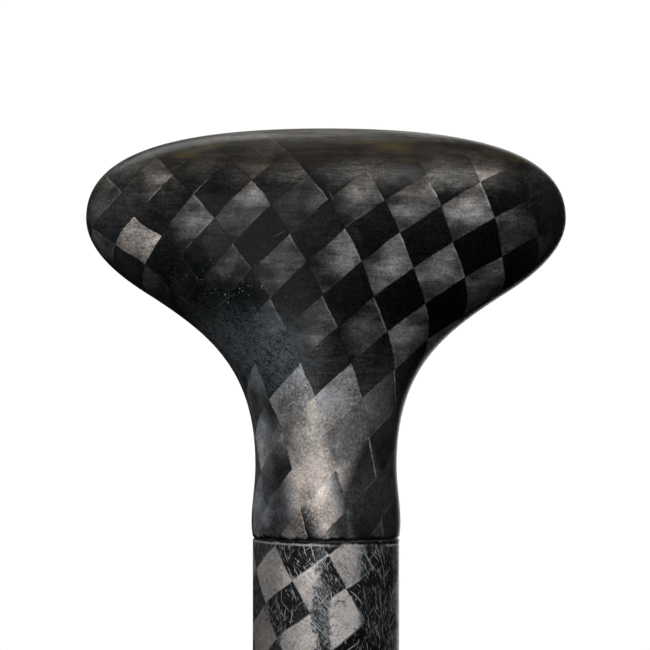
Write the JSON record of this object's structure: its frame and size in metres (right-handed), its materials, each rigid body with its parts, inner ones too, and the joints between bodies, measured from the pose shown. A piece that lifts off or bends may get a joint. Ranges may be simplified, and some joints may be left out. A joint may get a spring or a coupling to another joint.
{
  "type": "single blade paddle",
  "caption": "Carbon canoe paddle with a symmetric palm grip, a round shaft and a broad teardrop blade set at a slight angle to the shaft.",
  "frame": {"origin": "on the shaft's axis, at the end of the shaft where it meets the grip", "axes": "+Z along the shaft towards the grip, X across the grip and the blade, and the blade's power face looks towards -Y"},
  "size_m": [0.236, 0.0893, 1.2703],
  "materials": {
    "grip_laminate": "gloss",
    "shaft_laminate": "gloss",
    "blade_laminate": "gloss",
    "inner_carbon": "satin",
    "edge_rail": "satin",
    "foam": "matte",
    "adhesive": "satin"
  },
  "bodies": {
    "root": {"grip_front_shell": "grip_laminate", "grip_back_shell": "grip_laminate", "grip_foam_core": "foam", "grip_spigot": "inner_carbon", "grip_spigot_plug": "foam", "grip_adhesive": "adhesive", "shaft_tube": "inner_carbon", "shaft_weave_sleeve": "shaft_laminate", "blade_spigot": "inner_carbon", "blade_spigot_plug": "foam", "blade_adhesive": "adhesive", "blade_power_skin": "blade_laminate", "blade_back_skin": "blade_laminate", "blade_spine": "foam", "blade_core_left": "foam", "blade_core_right": "foam", "blade_edge_rail": "edge_rail"}
  },
  "joints": []
}
